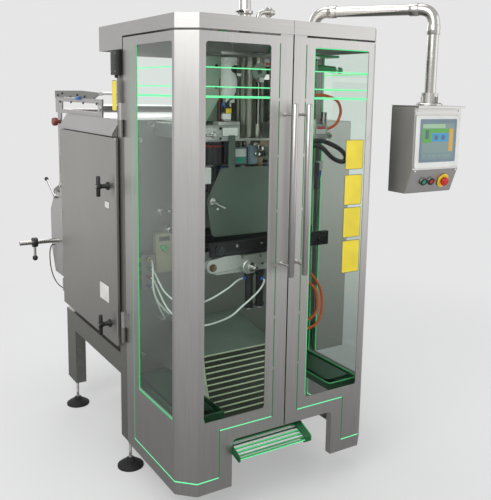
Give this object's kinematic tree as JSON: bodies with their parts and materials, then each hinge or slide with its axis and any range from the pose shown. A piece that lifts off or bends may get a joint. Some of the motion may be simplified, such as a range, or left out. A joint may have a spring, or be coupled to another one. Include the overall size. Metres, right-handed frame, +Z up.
{
  "type": "vertical form fill sealer",
  "caption": "Bag-making and filling machine: a glazed wrap-around guard with two doors, an electrical cabinet and film unwinder behind, and an operator panel on a swivel arm.",
  "frame": {"origin": "middle of the bounding box at the floor", "axes": "+X to the operator's right, +Y to the rear, +Z up; the guard's front skin faces -Y"},
  "size_m": [1.5545, 1.9602, 2.29],
  "materials": {
    "rubber": "moulded, matt",
    "guard_glass": "clear, slightly green",
    "black_plastic": "satin",
    "jaw_steel": "dark coated",
    "drive_black": "satin",
    "blue_rubber": "matt",
    "grey_green_paint": "satin",
    "green_plastic": "glossy, translucent look",
    "tray_green": "satin",
    "aluminium": "machined",
    "polished_steel": "polished",
    "bronze": "machined",
    "screen": "glossy",
    "green_button": "glossy",
    "red_button": "glossy",
    "air_hose": "polyurethane tube",
    "orange_cable": "silicone jacket",
    "stainless": "brushed"
  },
  "bodies": {
    "machine": {"left_side_frame": "stainless", "left_floor_tray": "tray_green", "left_pull_unit": "drive_black", "left_front_foot": "rubber", "left_rear_foot": "rubber", "right_side_frame": "stainless", "right_floor_tray": "tray_green", "right_pull_unit": "drive_black", "right_front_foot": "rubber", "right_rear_foot": "rubber", "front_cross_beam": "stainless", "rear_cross_beam": "stainless", "guard_roof": "stainless", "mounting_plate": "grey_green_paint", "safety_switch": "black_plastic", "cabinet_shell": "stainless", "cabinet_roof": "stainless", "drive_enclosure": "stainless", "discharge_chute": "stainless", "discharge_nose": "green_plastic", "collar_shelf": "stainless", "forming_tube": "stainless", "forming_collar": "polished_steel", "product_pipe": "stainless", "crosshead": "aluminium", "vertical_seal_cylinder": "aluminium", "jaw_frame": "polished_steel", "jaw_drive": "aluminium", "jaw_guard_panel": "guard_glass", "valve_manifold": "aluminium", "unwinder_frame": "stainless", "air_hose_a": "air_hose", "air_hose_b": "air_hose", "heater_cable": "orange_cable"},
    "left_door": {"left_guard_door": "stainless", "left_side_pane": "guard_glass", "left_front_pane": "guard_glass", "left_door_handle": "stainless"},
    "right_door": {"right_guard_door": "stainless", "right_side_pane": "guard_glass", "right_front_pane": "guard_glass", "right_door_handle": "stainless"},
    "cabinet_door": {"cabinet_door": "stainless"},
    "upper_latch": {"upper_latch": "black_plastic"},
    "lower_latch": {"lower_latch": "black_plastic"},
    "panel_arm": {"panel_arm": "stainless"},
    "panel": {"panel_box": "stainless", "panel_screen": "screen"},
    "start_button": {"start_button": "green_button"},
    "stop_button": {"stop_button": "red_button"},
    "emergency_stop": {"emergency_stop": "red_button"},
    "seal_bar": {"vertical_seal_bar": "bronze"},
    "left_roller": {"left_pull_roller": "blue_rubber"},
    "right_roller": {"right_pull_roller": "blue_rubber"},
    "front_jaw": {"front_jaw": "jaw_steel"},
    "rear_jaw": {"rear_jaw": "jaw_steel"},
    "idler": {"idler_roller": "aluminium"},
    "reel": {"reel_shaft": "aluminium", "reel_brake_knob": "black_plastic"},
    "dancer": {"dancer_arm": "aluminium"}
  },
  "joints": [
    {"name": "left_door_hinge", "type": "hinge", "parent": "machine", "child": "left_door", "pos_m": [-0.59925, -0.28988, 1], "axis": [0, 0, -1], "range_deg": [0, 110]},
    {"name": "right_door_hinge", "type": "hinge", "parent": "machine", "child": "right_door", "pos_m": [0.40475, -0.28988, 1], "axis": [0, 0, 1], "range_deg": [0, 12]},
    {"name": "cabinet_door_hinge", "type": "hinge", "parent": "machine", "child": "cabinet_door", "pos_m": [-0.59725, 0.60212, 1], "axis": [0, 0, -1], "range_deg": [0, 110]},
    {"name": "upper_latch_turn", "type": "hinge", "parent": "cabinet_door", "child": "upper_latch", "pos_m": [-0.60725, -0.13988, 1.345], "axis": [1, 0, 0], "range_deg": [0, 90]},
    {"name": "lower_latch_turn", "type": "hinge", "parent": "cabinet_door", "child": "lower_latch", "pos_m": [-0.60725, -0.13988, 0.69], "axis": [1, 0, 0], "range_deg": [0, 90]},
    {"name": "panel_arm_swivel", "type": "hinge", "parent": "machine", "child": "panel_arm", "pos_m": [0.33275, -0.41988, 2.065], "axis": [0, 0, 1], "range_deg": [-5, 40]},
    {"name": "panel_swivel", "type": "hinge", "parent": "panel_arm", "child": "panel", "pos_m": [0.64775, -0.89488, 1.735], "axis": [0, 0, 1], "range_deg": [-45, 45]},
    {"name": "start_button_press", "type": "slide", "parent": "panel", "child": "start_button", "axis": [0, 0.9398, 0.3417], "range_m": [0, 0.004], "stiffness_N_per_m": 300, "springref_m": -0.003},
    {"name": "stop_button_press", "type": "slide", "parent": "panel", "child": "stop_button", "axis": [0, 0.9398, 0.3417], "range_m": [0, 0.004], "stiffness_N_per_m": 300, "springref_m": -0.003},
    {"name": "emergency_stop_press", "type": "slide", "parent": "panel", "child": "emergency_stop", "axis": [0, 0.9398, 0.3417], "range_m": [0, 0.005], "stiffness_N_per_m": 300, "springref_m": -0.003},
    {"name": "seal_bar_stroke", "type": "slide", "parent": "machine", "child": "seal_bar", "axis": [0, 1, 0], "range_m": [0, 0.009]},
    {"name": "left_roller_spin", "type": "hinge", "parent": "machine", "child": "left_roller", "pos_m": [-0.19825, -0.53988, 1.43], "axis": [0, 1, 0], "continuous": true},
    {"name": "right_roller_spin", "type": "hinge", "parent": "machine", "child": "right_roller", "pos_m": [0.00375, -0.53988, 1.43], "axis": [0, 1, 0], "continuous": true},
    {"name": "front_jaw_stroke", "type": "slide", "parent": "machine", "child": "front_jaw", "axis": [0, 1, 0], "range_m": [0, 0.048]},
    {"name": "rear_jaw_stroke", "type": "slide", "parent": "machine", "child": "rear_jaw", "axis": [0, -1, 0], "range_m": [0, 0.048]},
    {"name": "idler_spin", "type": "hinge", "parent": "machine", "child": "idler", "pos_m": [-0.09725, 0.09012, 1.6928], "axis": [1, 0, 0], "continuous": true},
    {"name": "reel_spin", "type": "hinge", "parent": "machine", "child": "reel", "pos_m": [-0.09725, 0.85012, 0.9], "axis": [1, 0, 0], "continuous": true},
    {"name": "dancer_swing", "type": "hinge", "parent": "machine", "child": "dancer", "pos_m": [-0.09725, 0.77012, 1.24], "axis": [1, 0, 0], "range_deg": [0, 60]}
  ],
  "couplings": [
    {"joint": "right_roller_spin", "follows": "left_roller_spin", "ratio": -1},
    {"joint": "rear_jaw_stroke", "follows": "front_jaw_stroke", "ratio": 1}
  ]
}
